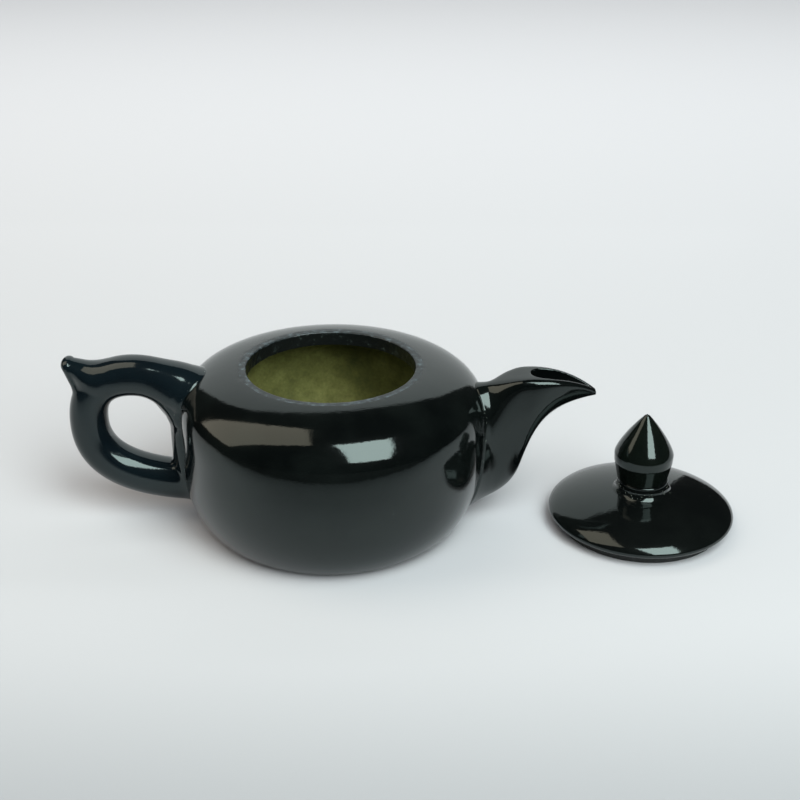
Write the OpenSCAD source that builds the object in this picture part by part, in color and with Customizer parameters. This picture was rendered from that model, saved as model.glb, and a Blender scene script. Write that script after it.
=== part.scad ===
// Squat round teapot with a beak spout, a loop handle with a thumb spur,
// and a loose domed lid with a bud knob that stands beside it on its flange.
// Millimetres, +Z up. The origin is the centre of the foot, on the pot's axis.
// The handle points to -X and the spout to +X.

/* [Pot] */
// Largest radius of the pot's body
body_r = 55; // [53:0.5:57]
// Height of the body's widest level
belly_z = 36; // [34:0.5:38]
// Height of the flat seat around the mouth
pot_h = 59.8; // [58:0.2:62]
// Radius of the flat foot
foot_r = 39; // [36:0.5:42]
// Thickness of the side wall
wall = 5; // [4:0.25:6]
// Thickness of the floor
floor_t = 6; // [4:0.5:8]
// Radius of the mouth's straight bore
mouth_r = 29.7; // [29.2:0.1:30]
// Height of the mouth's straight bore
throat_h = 5.1; // [4.5:0.1:6]

/* [Strainer] */
// Radius of each drilled hole behind the spout
hole_r = 1.6; // [1:0.1:2]
// Distance from the middle hole to the ring of holes
hole_ring_r = 4.8; // [4.4:0.1:5.2]
// Number of holes in the ring
ring_holes = 6; // [4:1:7]
// Height of the middle hole
strainer_z = 27; // [25:0.5:29]

/* [Spout] */
// Half width of the spout where it meets the body
root_half_w = 11.5; // [10:0.5:13]
// Half width of the spout's neck
neck_half_w = 7.5; // [6:0.25:9]
// Thickness of the spout's wall
spout_wall = 2.6; // [2:0.1:3]

/* [Handle] */
// Half depth of the handle's section, front to back
bar_half_d = 7.4; // [7:0.1:8]
// Half thickness of the bar at the top and bottom of the loop
bar_half_t = 7; // [6.5:0.1:7.5]
// Half thickness of the bar at the loop's outer side
bar_min_t = 6; // [5.5:0.1:6.4]
// Radius of the upright strap's outer face, from the pot's axis
strap_r = 57.6; // [57:0.1:58.5]

/* [Lid] */
// Radius of the lid's rim
rim_r = 33.2; // [32.5:0.1:34]
// Radius of the flange that drops into the mouth
flange_r = 29.35; // [28.8:0.05:29.4]
// Height of the flange under the rim
flange_h = 3.8; // [3:0.1:4.5]
// Height of the dome above the rim's widest line
dome_rise = 8.9; // [8:0.1:10]
// Thickness of the dome
lid_t = 4; // [3:0.25:4.5]
// Largest radius of the knob
knob_r = 10.5; // [10:0.05:11.5]
// Height of the knob's tip above the collar
knob_h = 25.4; // [23:0.1:27]
// Distance of the lid's axis from the pot's axis, along X
lid_x = 112; // [110:0.5:116]
// Distance of the lid's axis from the pot's axis, along Y
lid_y = -4.2; // [-8:0.1:0]

/* [Hidden] */
$fn = 96;

black = "#15191a";
olive_black = "#20251c";
slate = "#2a3133";

// Body curve: a rounded heel below the belly and a full shoulder above it.
heel_power = 2 / 2.1;
shoulder_power = 2 / 3.5;
shoulder_reach = 1.05;
curve_steps = 18;
shoulder_top = asin(pow(1 / shoulder_reach, 1 / shoulder_power));

function heel(r, foot, z0, z1) =
    [for (i = [0:curve_steps]) let (a = 90 * i / curve_steps)
        [foot + (r - foot) * pow(sin(a), heel_power), z0 + (z1 - z0) * (1 - pow(cos(a), heel_power))]];
function shoulder(r, z0, z1) =
    [for (i = [1:curve_steps]) let (a = shoulder_top * i / curve_steps)
        [r * pow(cos(a), shoulder_power),
         z0 + (z1 - z0) * shoulder_reach * pow(sin(a), shoulder_power)]];

throat_z = pot_h - throat_h;

// Cubic curve through its four control points, and two of them end to end.
function cubic(p, t) =
    pow(1 - t, 3) * p[0] + 3 * pow(1 - t, 2) * t * p[1] + 3 * (1 - t) * t * t * p[2] + pow(t, 3) * p[3];
function two_cubics(a, b, t) = t < 0.5 ? cubic(a, 2 * t) : cubic(b, 2 * t - 1);

// Ring of points between a low and a high point in the XZ plane, half_w wide to each side.
function ring(low, high, half_w, sides) =
    let (mid = (low + high) / 2, arm = (high - low) / 2)
    [for (i = [0:sides - 1]) let (a = 360 * i / sides)
        [mid[0] + arm[0] * sin(a), half_w * cos(a), mid[1] + arm[1] * sin(a)]];

// Closed skin over a row of rings.
module skin(rings) {
    sides = len(rings[0]);
    last = len(rings) - 1;
    polyhedron(
        points = [for (r = rings) for (p = r) p],
        faces = concat(
            [[for (i = [sides - 1:-1:0]) i]],
            [for (k = [0:last - 1]) for (i = [0:sides - 1]) let (j = (i + 1) % sides)
                [k * sides + i, k * sides + j, (k + 1) * sides + j]],
            [for (k = [0:last - 1]) for (i = [0:sides - 1]) let (j = (i + 1) % sides)
                [k * sides + i, (k + 1) * sides + j, (k + 1) * sides + i]],
            [[for (i = [0:sides - 1]) last * sides + i]]),
        convexity = 6);
}

// Spout: the back line runs up to the crown and down to the beak's tip,
// and the throat line runs out of the body, up the neck and out to the tip.
spout_back_low = [[46, 48.5], [56, 53], [62, 57.4], [71, 57.3]];
spout_back_high = [[71, 57.3], [79, 57.2], [86.5, 55.6], [93.4, 50.8]];
spout_throat_low = [[46, 4], [58, 8.4], [64.5, 11.5], [67.2, 20]];
spout_throat_high = [[67.2, 20], [71, 33], [72, 44.6], [93.6, 49]];
tip_half_w = 1.4;
spout_rings = 26;
spout_sides = 20;

function spout_back(t) = two_cubics(spout_back_low, spout_back_high, t);
function spout_throat(t) = two_cubics(spout_throat_low, spout_throat_high, t);
function spout_half_w(t) =
    t < 0.5
    ? neck_half_w + (root_half_w - neck_half_w) * pow(1 - 2 * t, 2)
    : (neck_half_w - tip_half_w) * (1 - pow(2 * t - 1, 2.3)) + tip_half_w;

// The pouring channel keeps spout_wall inside the spout, and breaks out through
// the back line along the beak as an open slot.
channel_end = 0.9;
slot_start = 0.6;
function channel_ring(t) =
    let (low = spout_throat(t), high = spout_back(t), span = norm(high - low), dir = (high - low) / span,
         top = t > slot_start ? -2 : spout_wall)
    ring(high - dir * top, low + dir * spout_wall,
         max(0.6, (spout_half_w(t) - spout_wall) * (t > slot_start ? 0.95 : 1)), spout_sides);

// Handle: the loop's middle line leaves the body at the shoulder, rounds the
// outer side and comes back to the body above the heel.
loop_upper = [[-47, 51], [-62, 57], [-86.4, 59], [-86.6, 37.5]];
loop_lower = [[-86.6, 37.5], [-86.6, 22.5], [-74, 14.5], [-47, 14]];
loop_rings = 36;
loop_sides = 20;
function loop_mid(t) = two_cubics(loop_upper, loop_lower, t);
function loop_half_t(t) = bar_half_t - (bar_half_t - bar_min_t) * pow(sin(180 * t), 6);
function loop_ring(t) =
    let (step = 0.004, ahead = loop_mid(min(1, t + step)) - loop_mid(max(0, t - step)),
         out = [ahead[1], -ahead[0]] / norm(ahead))
    ring(loop_mid(t) - out * loop_half_t(t), loop_mid(t) + out * loop_half_t(t), bar_half_d, loop_sides);

// Upright strap that joins the two ends of the loop along the body.
strap_low = 14;
strap_high = 50;
strap_half_w = 6.8;

// Thumb spur: a blunt leaf that leans out from the top of the loop.
spur_root = [-82.5, 54.2];
spur_root_r = 5.6;
spur_tip = [-92.3, 60];
spur_tip_r = 2.3;
spur_heel = [-89.2, 50.6];
spur_heel_r = 1.9;

// Lid heights, from the table up.
rim_low_z = flange_h;
rim_low_r = rim_r - 1.3;
rim_z = flange_h + 1.5;
dome_top = rim_z + dome_rise;
dome_power = 1.12;
flange_t = 4.8;
collar_top = dome_top + 3.8;
collar_r = 9.8;
collar_top_r = 9.3;
knob_foot_r = 8.9;
knob_ridge_z = 6.6;
knob_ridge_r = knob_r - 0.25;
knob_wide_z = 10.1;
knob_tip_r = 0.5;
bud_power = 0.95;
bud_round = 1.26;
lid_steps = 16;

module pot_outside() {
    rotate_extrude()
        polygon(concat([[0, 0]], heel(body_r, foot_r, 0, belly_z),
                       shoulder(body_r, belly_z, pot_h), [[0, pot_h]]));
}

module pot_cavity() {
    rotate_extrude()
        polygon(concat([[0, floor_t]], heel(body_r - wall, foot_r - wall, floor_t, belly_z),
                       shoulder(body_r - wall, belly_z, throat_z), [[0, throat_z]]));
}

module strainer_hole(y, z) {
    translate([body_r - wall * 2, y, z]) rotate([0, 90, 0]) cylinder(r = hole_r, h = wall * 3, $fn = 24);
}

module pot_body() {
    color(black) difference() {
        pot_outside();
        pot_cavity();
        translate([0, 0, throat_z - 1]) cylinder(r = mouth_r, h = throat_h + 2);
        strainer_hole(0, strainer_z);
        for (i = [0:ring_holes - 1])
            let (a = 360 * i / ring_holes)
            strainer_hole(hole_ring_r * sin(a), strainer_z + hole_ring_r * cos(a));
    }
}

module spout() {
    color(black) difference() {
        skin([for (i = [0:spout_rings]) let (t = i / spout_rings)
            ring(spout_back(t), spout_throat(t), spout_half_w(t), spout_sides)]);
        skin([for (i = [0:spout_rings]) channel_ring(channel_end * i / spout_rings)]);
        pot_outside();
    }
}

module loop_solid() {
    skin([for (i = [0:loop_rings]) loop_ring(i / loop_rings)]);
}

module handle_loop() {
    color(slate) difference() {
        loop_solid();
        pot_outside();
    }
}

module handle_strap() {
    color(slate) difference() {
        intersection() {
            translate([0, 0, strap_low]) cylinder(r = strap_r, h = strap_high - strap_low);
            translate([-strap_r - 1, -strap_half_w, strap_low])
                cube([strap_r / 2, 2 * strap_half_w, strap_high - strap_low]);
        }
        pot_outside();
        loop_solid();
    }
}

module spur_ball(at, r) {
    translate([at[0], 0, at[1]]) sphere(r = r, $fn = 28);
}

module thumb_spur() {
    color(slate) difference() {
        hull() {
            spur_ball(spur_root, spur_root_r);
            spur_ball(spur_tip, spur_tip_r);
            spur_ball(spur_heel, spur_heel_r);
        }
        loop_solid();
    }
}

function dome_curve(r, z0, rise) =
    [for (i = [0:lid_steps]) let (a = 90 * i / lid_steps)
        [r * pow(cos(a), dome_power), z0 + rise * pow(sin(a), dome_power)]];

module dome_outside() {
    rotate_extrude()
        polygon(concat([[0, rim_low_z], [rim_low_r, rim_low_z], [rim_r - 0.3, rim_low_z + 0.6]],
                       dome_curve(rim_r, rim_z, dome_rise)));
}

module dome_hollow() {
    inner_r = flange_r - flange_t;
    rotate_extrude()
        polygon(concat([[0, rim_low_z - 1], [inner_r, rim_low_z - 1]],
                       dome_curve(inner_r, rim_low_z + 0.5, dome_top - lid_t - rim_low_z - 0.5)));
}

module on_lid() {
    translate([lid_x, lid_y, 0]) children();
}

module lid_dome() {
    color(black) on_lid() difference() {
        dome_outside();
        dome_hollow();
    }
}

module lid_flange() {
    color(olive_black) on_lid() difference() {
        cylinder(r = flange_r, h = flange_h);
        translate([0, 0, -1]) cylinder(r = flange_r - flange_t, h = flange_h + 2);
    }
}

module knob_collar() {
    color(black) on_lid() difference() {
        translate([0, 0, dome_top - 2]) cylinder(r1 = collar_r, r2 = collar_top_r, h = collar_top - dome_top + 2);
        dome_outside();
    }
}

module lid_knob() {
    color(black) on_lid() translate([0, 0, collar_top]) rotate_extrude()
        polygon(concat([[0, 0], [knob_foot_r, 0], [knob_ridge_r, knob_ridge_z]],
                       [for (i = [0:lid_steps]) let (s = 1 - i / lid_steps)
                           [knob_tip_r + (knob_r - knob_tip_r) * pow(1 - pow(1 - s, bud_round), bud_power),
                            knob_wide_z + (knob_h - knob_wide_z) * (1 - s)]],
                       [[0, knob_h]]));
}

pot_body();
spout();
handle_loop();
handle_strap();
thumb_spur();
lid_dome();
lid_flange();
knob_collar();
lid_knob();
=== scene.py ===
import math
import bmesh
import bpy
import numpy as np
from mathutils import Matrix, Vector, noise


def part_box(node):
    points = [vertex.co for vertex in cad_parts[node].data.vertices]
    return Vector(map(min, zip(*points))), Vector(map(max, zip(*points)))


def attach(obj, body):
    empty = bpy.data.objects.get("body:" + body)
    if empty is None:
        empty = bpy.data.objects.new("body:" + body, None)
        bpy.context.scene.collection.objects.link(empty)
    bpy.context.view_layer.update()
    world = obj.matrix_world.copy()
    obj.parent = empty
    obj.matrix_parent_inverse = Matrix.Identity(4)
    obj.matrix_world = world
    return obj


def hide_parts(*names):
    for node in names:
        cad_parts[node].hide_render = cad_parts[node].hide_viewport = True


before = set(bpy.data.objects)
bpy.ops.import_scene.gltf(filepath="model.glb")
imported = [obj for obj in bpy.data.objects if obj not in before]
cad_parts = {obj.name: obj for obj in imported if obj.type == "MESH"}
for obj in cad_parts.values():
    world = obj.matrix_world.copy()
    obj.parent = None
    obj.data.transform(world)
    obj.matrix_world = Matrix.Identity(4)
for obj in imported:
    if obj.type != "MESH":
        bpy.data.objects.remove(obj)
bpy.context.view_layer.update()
mm = 0.001

# the places that everything else is worked out from
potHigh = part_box("pot_body")[1]
domeLow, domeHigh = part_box("lid_dome")
flangeLow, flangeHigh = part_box("lid_flange")
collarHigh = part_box("knob_collar")[1]
knobLow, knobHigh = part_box("lid_knob")
potRadius = potHigh.y
potHeight = potHigh.z
lidCentre = Vector(((domeLow.x + domeHigh.x) / 2, (domeLow.y + domeHigh.y) / 2, 0))


# small helpers

def hexColor(code):
    values = [int(code[i:i + 2], 16) / 255 for i in (1, 3, 5)]
    return tuple(v / 12.92 if v <= 0.04045 else ((v + 0.055) / 1.055) ** 2.4 for v in values) + (1.0,)


def addNode(tree, kind, settings=None, inputs=None):
    # an input given as a node is linked to that node's first output
    node = tree.nodes.new(kind)
    for name, value in (settings or {}).items():
        setattr(node, name, value)
    for key, value in (inputs or {}).items():
        if isinstance(value, bpy.types.Node):
            value = value.outputs[0]
        if isinstance(value, bpy.types.NodeSocket):
            tree.links.new(value, node.inputs[key])
        else:
            node.inputs[key].default_value = value
    return node


def newObject(name, mesh):
    obj = bpy.data.objects.new(name, mesh)
    bpy.context.scene.collection.objects.link(obj)
    return obj


def meshFromData(name, points, faces, mat=None):
    mesh = bpy.data.meshes.new(name)
    mesh.from_pydata([tuple(p) for p in points], [], faces)
    mesh.validate()
    if mat:
        mesh.materials.append(mat)
    return newObject(name, mesh)


def applyModifiers(obj):
    depsgraph = bpy.context.evaluated_depsgraph_get()
    mesh = bpy.data.meshes.new_from_object(obj.evaluated_get(depsgraph))
    old = obj.data
    obj.modifiers.clear()
    obj.data = mesh
    bpy.data.meshes.remove(old)


def cutAway(obj, cutter):
    cut = obj.modifiers.new("cut", "BOOLEAN")
    cut.operation = "DIFFERENCE"
    cut.solver = "EXACT"
    cut.object = cutter
    applyModifiers(obj)
    bpy.data.objects.remove(cutter)


def joinInto(obj, others):
    bm = bmesh.new()
    bm.from_mesh(obj.data)
    for other in others:
        bm.from_mesh(other.data)
        bpy.data.objects.remove(other)
    bm.to_mesh(obj.data)
    bm.free()


def fixNormals(obj):
    bm = bmesh.new()
    bm.from_mesh(obj.data)
    bmesh.ops.recalc_face_normals(bm, faces=bm.faces)
    bm.to_mesh(obj.data)
    bm.free()


def loft(name, rings):
    # rings is an array (count, sides, 3); both ends are closed with a fan
    count, sides = rings.shape[:2]
    points = np.vstack([rings.reshape(-1, 3), rings[0].mean(0), rings[-1].mean(0)])
    faces = []
    for k in range(count - 1):
        for i in range(sides):
            j = (i + 1) % sides
            faces.append((k * sides + i, k * sides + j, (k + 1) * sides + j, (k + 1) * sides + i))
    last = (count - 1) * sides
    for i in range(sides):
        j = (i + 1) % sides
        faces.append((count * sides, j, i))
        faces.append((count * sides + 1, last + i, last + j))
    obj = meshFromData(name, points, faces)
    fixNormals(obj)
    return obj


def smoothShade(obj, sharpAngle, mat=None):
    obj.data.polygons.foreach_set("use_smooth", [True] * len(obj.data.polygons))
    obj.data.set_sharp_from_angle(angle=math.radians(sharpAngle))
    if mat:
        obj.data.materials.clear()
        obj.data.materials.append(mat)


def startTree(name, sockets):
    # a Geometry Nodes tree with named inputs and one geometry output
    tree = bpy.data.node_groups.new(name, "GeometryNodeTree")
    for label, kind in sockets.items():
        tree.interface.new_socket(label, in_out="INPUT", socket_type="NodeSocket" + kind)
    tree.interface.new_socket("Geometry", in_out="OUTPUT", socket_type="NodeSocketGeometry")
    return tree, addNode(tree, "NodeGroupInput").outputs


def runTree(name, tree, values):
    # the tree's result as a plain mesh; each input is set by its socket's identifier
    obj = newObject(name, bpy.data.meshes.new(name))
    grow = obj.modifiers.new("grow", "NODES")
    grow.node_group = tree
    for socket in tree.interface.items_tree:
        if socket.in_out == "INPUT":
            grow[socket.identifier] = values[socket.name]
    applyModifiers(obj)
    return obj


def vertexArray(mesh):
    co = np.empty(len(mesh.vertices) * 3, np.float32)
    mesh.vertices.foreach_get("co", co)
    return co.reshape(-1, 3).astype(float)


def setVertices(mesh, co):
    mesh.vertices.foreach_set("co", co.astype(np.float32).ravel())
    mesh.update()


def cubic(points, t):
    t = np.asarray(t, float)[..., None]
    a, b, c, d = [np.asarray(p, float) for p in points]
    return (1 - t) ** 3 * a + 3 * (1 - t) ** 2 * t * b + 3 * (1 - t) * t ** 2 * c + t ** 3 * d


def twoCubics(first, second, t):
    t = np.asarray(t, float)
    early = cubic(first, np.clip(2 * t, 0, 1))
    late = cubic(second, np.clip(2 * t - 1, 0, 1))
    return np.where((t < 0.5)[..., None], early, late)


def fullTurn(count):
    return np.linspace(0, 2 * math.pi, count, endpoint=False)


def squircle(a, power):
    # cosine and sine of a rounded square; a power of 2 gives an ellipse
    return [np.sign(v) * np.abs(v) ** (2 / power) for v in (np.cos(a), np.sin(a))]


def nearestOnPath(flat, path):
    # for points in a plane: distance to the path, place along it counted in segments, and side of it
    best = np.full(len(flat), 1e9)
    place, side = np.zeros(len(flat)), np.ones(len(flat))
    for k, (a, b) in enumerate(zip(path[:-1], path[1:])):
        length = max(np.linalg.norm(b - a), 1e-9)
        step = (b - a) / length
        rel = flat - a
        along = np.clip(rel @ step, 0, length)
        gap = rel - along[:, None] * step
        d = np.einsum("ij,ij->i", gap, gap)
        closer = d < best
        best[closer] = d[closer]
        place[closer] = k + along[closer] / length
        side[closer] = np.sign(rel[:, 0] * step[1] - rel[:, 1] * step[0])[closer]
    return np.sqrt(best), place, side


# finishes

def newMaterial(name, constants):
    mat = bpy.data.materials.new(name)
    mat.use_nodes = True
    shader = mat.node_tree.nodes["Principled BSDF"]
    for socket, value in constants.items():
        shader.inputs[socket].default_value = value
    return mat, mat.node_tree, shader


blackClay = {"base": "#040606", "cloud": "#0c100f", "tint": "#eefffd", "speck": "#59605c", "roughness": 0.06,
             "ior": 1.5, "haze": 0.05, "hazeRoughness": 0.3, "hazeIor": 1.4, "cloudMm": 26, "speckMm": 5.5,
             "speckSize": 0.035, "speckShare": 0.13, "dullMm": 9, "waveMm": 7, "waveHeight": 0.05,
             "grainMm": 0.75, "grainHeight": 0.014}
slateClay = dict(blackClay, base="#070d11", cloud="#0b1418", roughness=0.07)
lidClay = dict(blackClay, base="#060808", cloud="#0c0f0e", roughness=0.06)
knobClay = dict(blackClay, base="#070b09", cloud="#0d110d", roughness=0.06, waveMm=5)


def burnishedClay(name, look):
    # clay rubbed smooth with a stone and fired in smoke: deep black, hard gloss, slightly uneven facets,
    # faint clouding and a few pinholes filled with pale dust; a trace of wax from handling gives bright
    # reflections a soft halo
    mat, tree, shader = newMaterial(name, {
        "IOR": look["ior"], "Specular Tint": hexColor(look["tint"]), "Coat Weight": look["haze"],
        "Coat Roughness": look["hazeRoughness"], "Coat IOR": look["hazeIor"]})
    place = addNode(tree, "ShaderNodeTexCoord").outputs["Object"]
    clouds = addNode(tree, "ShaderNodeTexNoise", inputs={
        "Vector": place, "Scale": 1 / (look["cloudMm"] * mm), "Detail": 5, "Roughness": 0.6})
    cloudMask = addNode(tree, "ShaderNodeMapRange", inputs={
        "Value": clouds, "From Min": 0.42, "From Max": 0.75})
    clay = addNode(tree, "ShaderNodeMix", {"data_type": "RGBA"}, {
        0: cloudMask, 6: hexColor(look["base"]), 7: hexColor(look["cloud"])})
    # pinholes: one cell in eight holds a pale speck about 0.4 mm across
    cells = addNode(tree, "ShaderNodeTexVoronoi", inputs={"Vector": place, "Scale": 1 / (look["speckMm"] * mm)})
    dot = addNode(tree, "ShaderNodeMath", {"operation": "LESS_THAN"}, {
        0: cells, 1: look["speckSize"]})
    pick = addNode(tree, "ShaderNodeSeparateColor", inputs={0: cells.outputs["Color"]})
    few = addNode(tree, "ShaderNodeMath", {"operation": "LESS_THAN"}, {
        0: pick, 1: look["speckShare"]})
    speck = addNode(tree, "ShaderNodeMath", {"operation": "MULTIPLY"}, {0: dot, 1: few})
    skin = addNode(tree, "ShaderNodeMix", {"data_type": "RGBA"}, {
        0: speck, 6: clay.outputs[2], 7: hexColor(look["speck"])})
    tree.links.new(skin.outputs[2], shader.inputs["Base Color"])
    # rubbing leaves some places duller than others
    rubbed = addNode(tree, "ShaderNodeTexNoise", inputs={
        "Vector": place, "Scale": 1 / (look["dullMm"] * mm), "Detail": 6})
    dull = addNode(tree, "ShaderNodeMapRange", inputs={
        "Value": rubbed, "From Min": 0.3, "From Max": 0.75,
        "To Min": look["roughness"] * 0.7, "To Max": look["roughness"] * 1.7})
    dulled = addNode(tree, "ShaderNodeMath", {"operation": "MAXIMUM"}, {
        0: dull, 1: speck})
    tree.links.new(dulled.outputs[0], shader.inputs["Roughness"])
    # burnishing facets, then the fine drag of the stone
    waves = addNode(tree, "ShaderNodeTexNoise", inputs={
        "Vector": place, "Scale": 1 / (look["waveMm"] * mm), "Detail": 4, "Roughness": 0.5})
    facets = addNode(tree, "ShaderNodeBump", inputs={
        "Height": waves, "Distance": look["waveHeight"] * mm, "Strength": 1.0})
    grain = addNode(tree, "ShaderNodeTexNoise", inputs={
        "Vector": place, "Scale": 1 / (look["grainMm"] * mm), "Detail": 3})
    drag = addNode(tree, "ShaderNodeBump", inputs={
        "Height": grain, "Distance": look["grainHeight"] * mm, "Strength": 1.0,
        "Normal": facets})
    tree.links.new(drag.outputs[0], shader.inputs["Normal"])
    return mat


groundClay = {"base": "#1c2123", "grit": "#57656b", "gritMm": 0.32, "patchMm": 2.2, "gritFrom": 0.27,
              "gritTo": 0.42, "roughness": 0.4, "ior": 1.45, "heightMm": 0.04}
throatClay = dict(groundClay, base="#0d1010", grit="#39423f", gritMm=0.6, gritFrom=0.33, gritTo=0.42,
                  roughness=0.3, heightMm=0.09)


def groundSurface(name, look):
    # clay cut with a blade and ground flat: dull, grey with crushed grit
    mat, tree, shader = newMaterial(name, {"Roughness": look["roughness"], "IOR": look["ior"]})
    place = addNode(tree, "ShaderNodeTexCoord").outputs["Object"]
    grit = addNode(tree, "ShaderNodeTexNoise", inputs={
        "Vector": place, "Scale": 1 / (look["gritMm"] * mm), "Detail": 4, "Roughness": 0.7})
    patches = addNode(tree, "ShaderNodeTexNoise", inputs={
        "Vector": place, "Scale": 1 / (look["patchMm"] * mm), "Detail": 3})
    both = addNode(tree, "ShaderNodeMath", {"operation": "MULTIPLY"}, {
        0: grit, 1: patches})
    mask = addNode(tree, "ShaderNodeMapRange", inputs={
        "Value": both, "From Min": look["gritFrom"], "From Max": look["gritTo"]})
    tint = addNode(tree, "ShaderNodeMix", {"data_type": "RGBA"}, {
        0: mask, 6: hexColor(look["base"]), 7: hexColor(look["grit"])})
    tree.links.new(tint.outputs[2], shader.inputs["Base Color"])
    rough = addNode(tree, "ShaderNodeBump", inputs={
        "Height": grit, "Distance": look["heightMm"] * mm, "Strength": 1.0})
    tree.links.new(rough.outputs[0], shader.inputs["Normal"])
    return mat


oliveSlip = {"light": "#757745", "deep": "#585b30", "dark": "#3c4022", "roughness": 0.5, "ior": 1.4,
             "cloudMm": 17, "grainMm": 1.1, "grainHeight": 0.03, "dotMm": 14, "dotSize": 0.045}


def insideSlip(name, look):
    # unrubbed inside of the wall: matte olive, mottled, with a dark speck or two
    mat, tree, shader = newMaterial(name, {"Roughness": look["roughness"], "IOR": look["ior"]})
    place = addNode(tree, "ShaderNodeTexCoord").outputs["Object"]
    clouds = addNode(tree, "ShaderNodeTexNoise", inputs={
        "Vector": place, "Scale": 1 / (look["cloudMm"] * mm), "Detail": 6, "Roughness": 0.62})
    ramp = addNode(tree, "ShaderNodeValToRGB", inputs={0: clouds})
    stops = ramp.color_ramp.elements
    stops[0].position, stops[0].color = 0.3, hexColor(look["dark"])
    stops[1].position, stops[1].color = 0.68, hexColor(look["light"])
    stops.new(0.48).color = hexColor(look["deep"])
    fine = addNode(tree, "ShaderNodeTexNoise", inputs={
        "Vector": place, "Scale": 1 / (look["grainMm"] * mm), "Detail": 4})
    shade = addNode(tree, "ShaderNodeMapRange", inputs={
        "Value": fine, "From Min": 0.3, "From Max": 0.7, "To Min": 0.82, "To Max": 1.12})
    cells = addNode(tree, "ShaderNodeTexVoronoi", inputs={"Vector": place, "Scale": 1 / (look["dotMm"] * mm)})
    dot = addNode(tree, "ShaderNodeMath", {"operation": "GREATER_THAN"}, {
        0: cells, 1: look["dotSize"]})
    value = addNode(tree, "ShaderNodeMath", {"operation": "MULTIPLY"}, {0: shade, 1: dot})
    tint = addNode(tree, "ShaderNodeVectorMath", {"operation": "SCALE"}, {
        0: ramp, "Scale": value})
    tree.links.new(tint.outputs[0], shader.inputs["Base Color"])
    rough = addNode(tree, "ShaderNodeBump", inputs={
        "Height": fine, "Distance": look["grainHeight"] * mm, "Strength": 1.0})
    tree.links.new(rough.outputs[0], shader.inputs["Normal"])
    return mat


potBlack = burnishedClay("burnishedBlackware", blackClay)
handleBlack = burnishedClay("burnishedBlackwareSlate", slateClay)
lidBlack = burnishedClay("burnishedBlackwareLid", lidClay)
knobBlack = burnishedClay("burnishedBlackwareKnob", knobClay)
cutClay = groundSurface("groundBlackware", groundClay)
throatCut = groundSurface("chiselledBlackware", throatClay)
flangeClay = groundSurface("unburnishedBlackware", dict(groundClay, base="#141716", grit="#2a2e2b",
                                                        roughness=0.5))
oliveInside = insideSlip("oliveSlip", oliveSlip)
print("finishes made")


# crumbs of dried slip: one Geometry Nodes tree drops them at the points of a mesh

dryCrumb = {"color": "#858d84", "roughness": 0.85, "size": 0.13 * mm, "spread": 0.12 * mm,
            "gapFrom": 0.15 * mm, "gapTo": 0.6 * mm}


def crumbTree():
    tree, given = startTree("scatteredCrumbs", {
        "Places": "Object", "Size": "Float", "Spread": "Float", "Seed": "Int", "Finish": "Material"})
    places = addNode(tree, "GeometryNodeObjectInfo", inputs={"Object": given["Places"]}).outputs["Geometry"]
    points = addNode(tree, "GeometryNodeMeshToPoints", inputs={"Mesh": places})
    vector = {"data_type": "FLOAT_VECTOR"}
    stray = addNode(tree, "FunctionNodeRandomValue", vector, {
        0: (-1, -1, -0.2), 1: (1, 1, 0.2), "Seed": given["Seed"]})
    offset = addNode(tree, "ShaderNodeVectorMath", {"operation": "SCALE"}, {
        0: stray, "Scale": given["Spread"]})
    strewn = addNode(tree, "GeometryNodeSetPosition", inputs={"Geometry": points, "Offset": offset})
    crumb = addNode(tree, "GeometryNodeMeshIcoSphere", inputs={
        "Radius": given["Size"], "Subdivisions": 1})
    turned = addNode(tree, "FunctionNodeRandomValue", vector, {
        0: (0, 0, 0), 1: (math.pi, math.pi, 2 * math.pi), "Seed": given["Seed"]})
    sized = addNode(tree, "FunctionNodeRandomValue", vector, {
        0: (0.35, 0.35, 0.3), 1: (1.3, 1.0, 0.7), "Seed": given["Seed"]})
    laid = addNode(tree, "GeometryNodeInstanceOnPoints", inputs={
        "Points": strewn, "Instance": crumb, "Rotation": turned, "Scale": sized})
    real = addNode(tree, "GeometryNodeRealizeInstances", inputs={0: laid})
    done = addNode(tree, "GeometryNodeSetMaterial", inputs={
        "Geometry": real, "Material": given["Finish"]})
    addNode(tree, "NodeGroupOutput", inputs={0: done})
    return tree


scattering = crumbTree()
# pale clay dust that dried in the creases and was never wiped out
slipDust = newMaterial("driedSlip", {
    "Base Color": hexColor(dryCrumb["color"]), "Roughness": dryCrumb["roughness"]})[0]


def scatterCrumbs(name, places, body, seed):
    mesh = bpy.data.meshes.new(name + "Places")
    mesh.from_pydata([tuple(p) for p in places], [], [])
    source = newObject(name + "Places", mesh)
    obj = runTree(name, scattering, {
        "Places": source, "Size": dryCrumb["size"], "Spread": dryCrumb["spread"], "Seed": seed, "Finish": slipDust})
    bpy.data.objects.remove(source)
    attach(obj, body)


# turned forms: one Geometry Nodes tree spins a profile about the Z axis

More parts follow.
